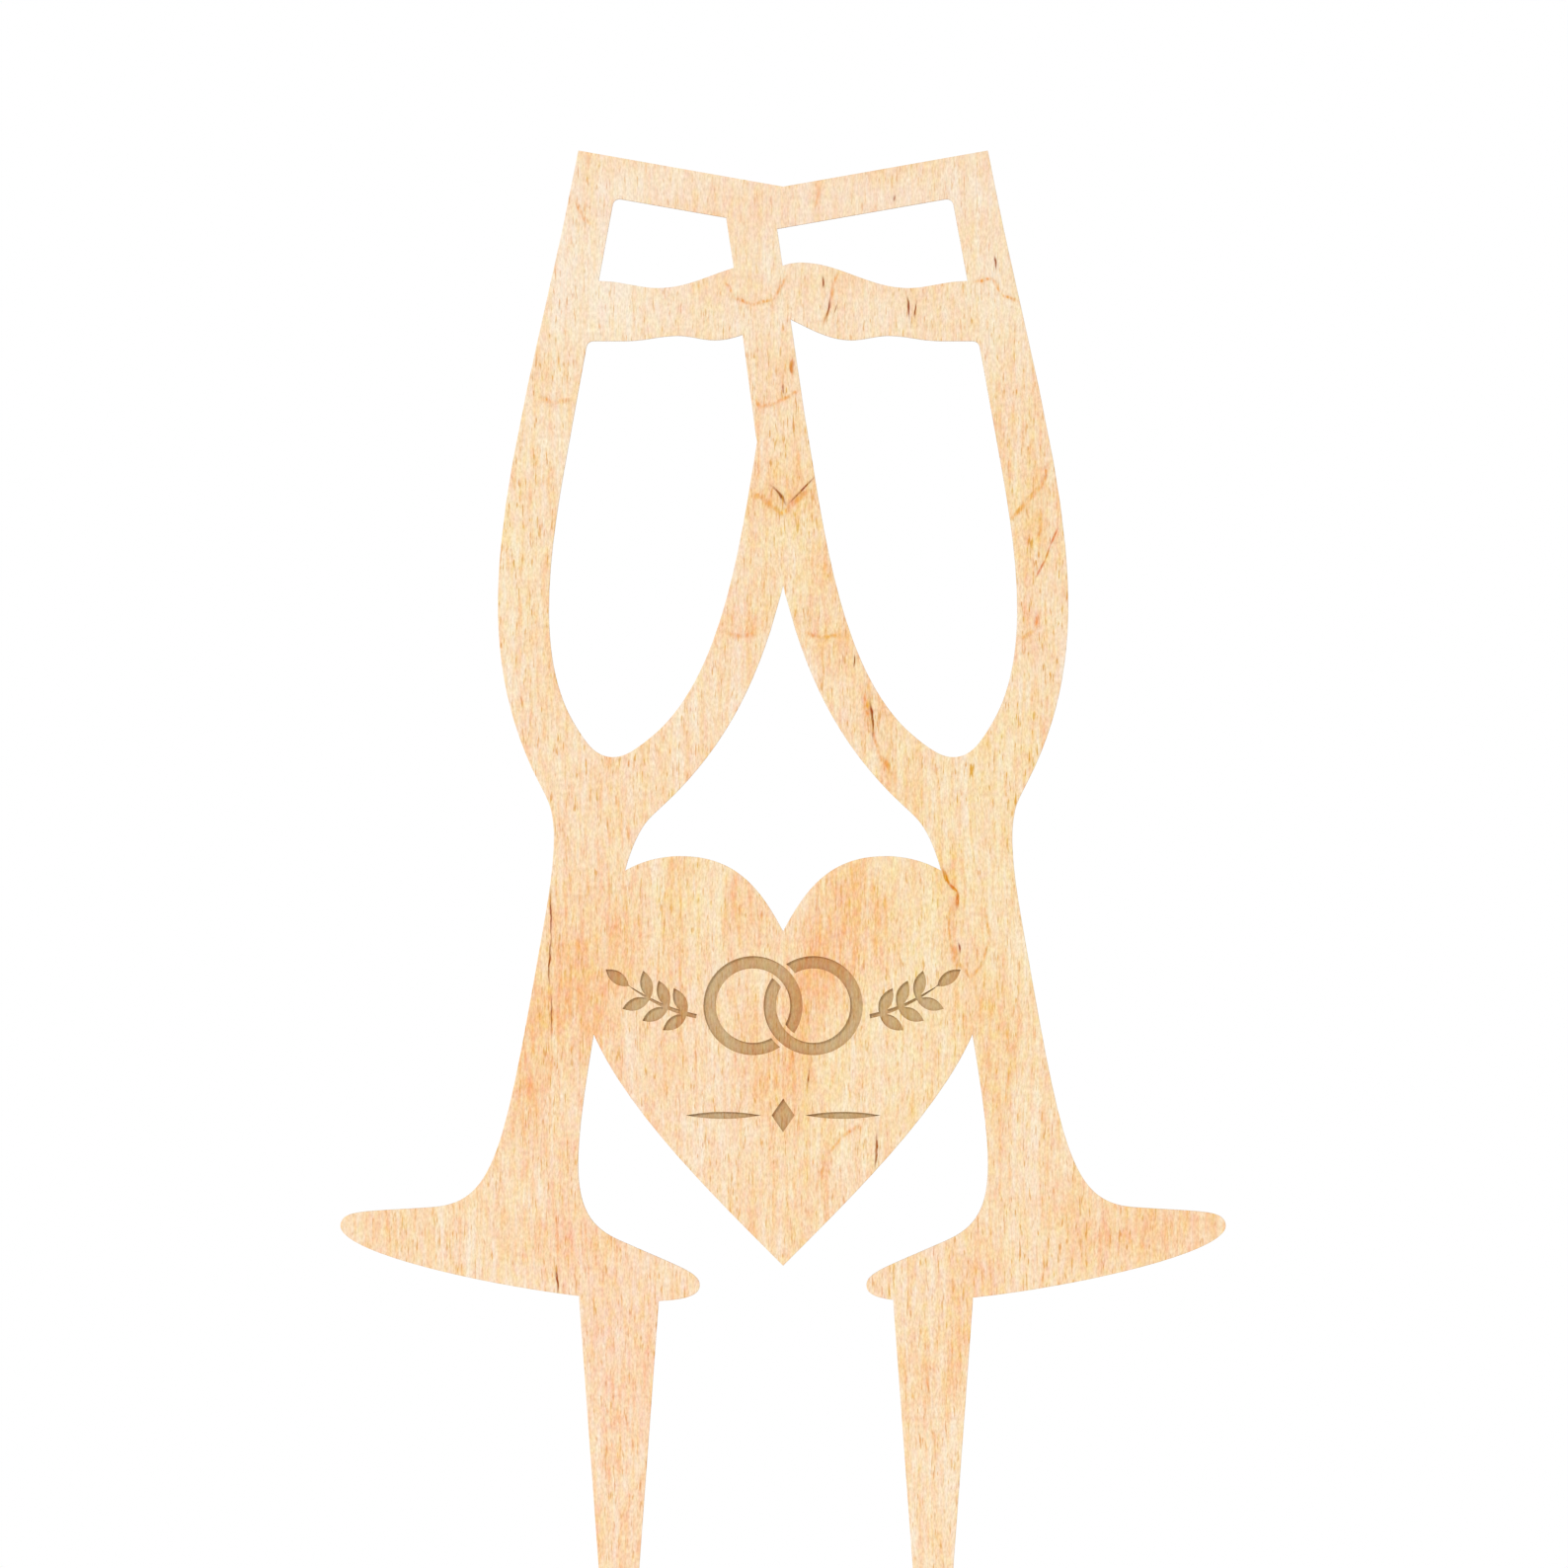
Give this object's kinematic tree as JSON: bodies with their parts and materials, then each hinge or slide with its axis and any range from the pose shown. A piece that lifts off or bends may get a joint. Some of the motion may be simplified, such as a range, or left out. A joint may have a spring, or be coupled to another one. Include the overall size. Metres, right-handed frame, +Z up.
{
  "type": "wedding cake topper",
  "caption": "Flat plywood cake topper with champagne flutes leaning together over an engraved heart, on tapered stakes that push into a cake.",
  "frame": {"origin": "on the level of the cake's top, half way between the flutes' feet, in the middle of the sheet's thickness", "axes": "+Z up out of the cake, +X to the right of someone facing the engraved front, +Y from the front to the back"},
  "size_m": [0.1, 0.003, 0.1801],
  "materials": {
    "birch_face": "sanded birch face veneer, bare, with the grain upright",
    "birch_core": "birch core veneer with the grain crosswise, seen only at the cut edge",
    "glue_resin": "cured brown plywood resin, seen only as a line in the cut edge"
  },
  "bodies": {
    "root": {"front_veneer": "birch_face", "front_glue_line": "glue_resin", "core_veneer": "birch_core", "back_glue_line": "glue_resin", "back_veneer": "birch_face"}
  },
  "joints": []
}
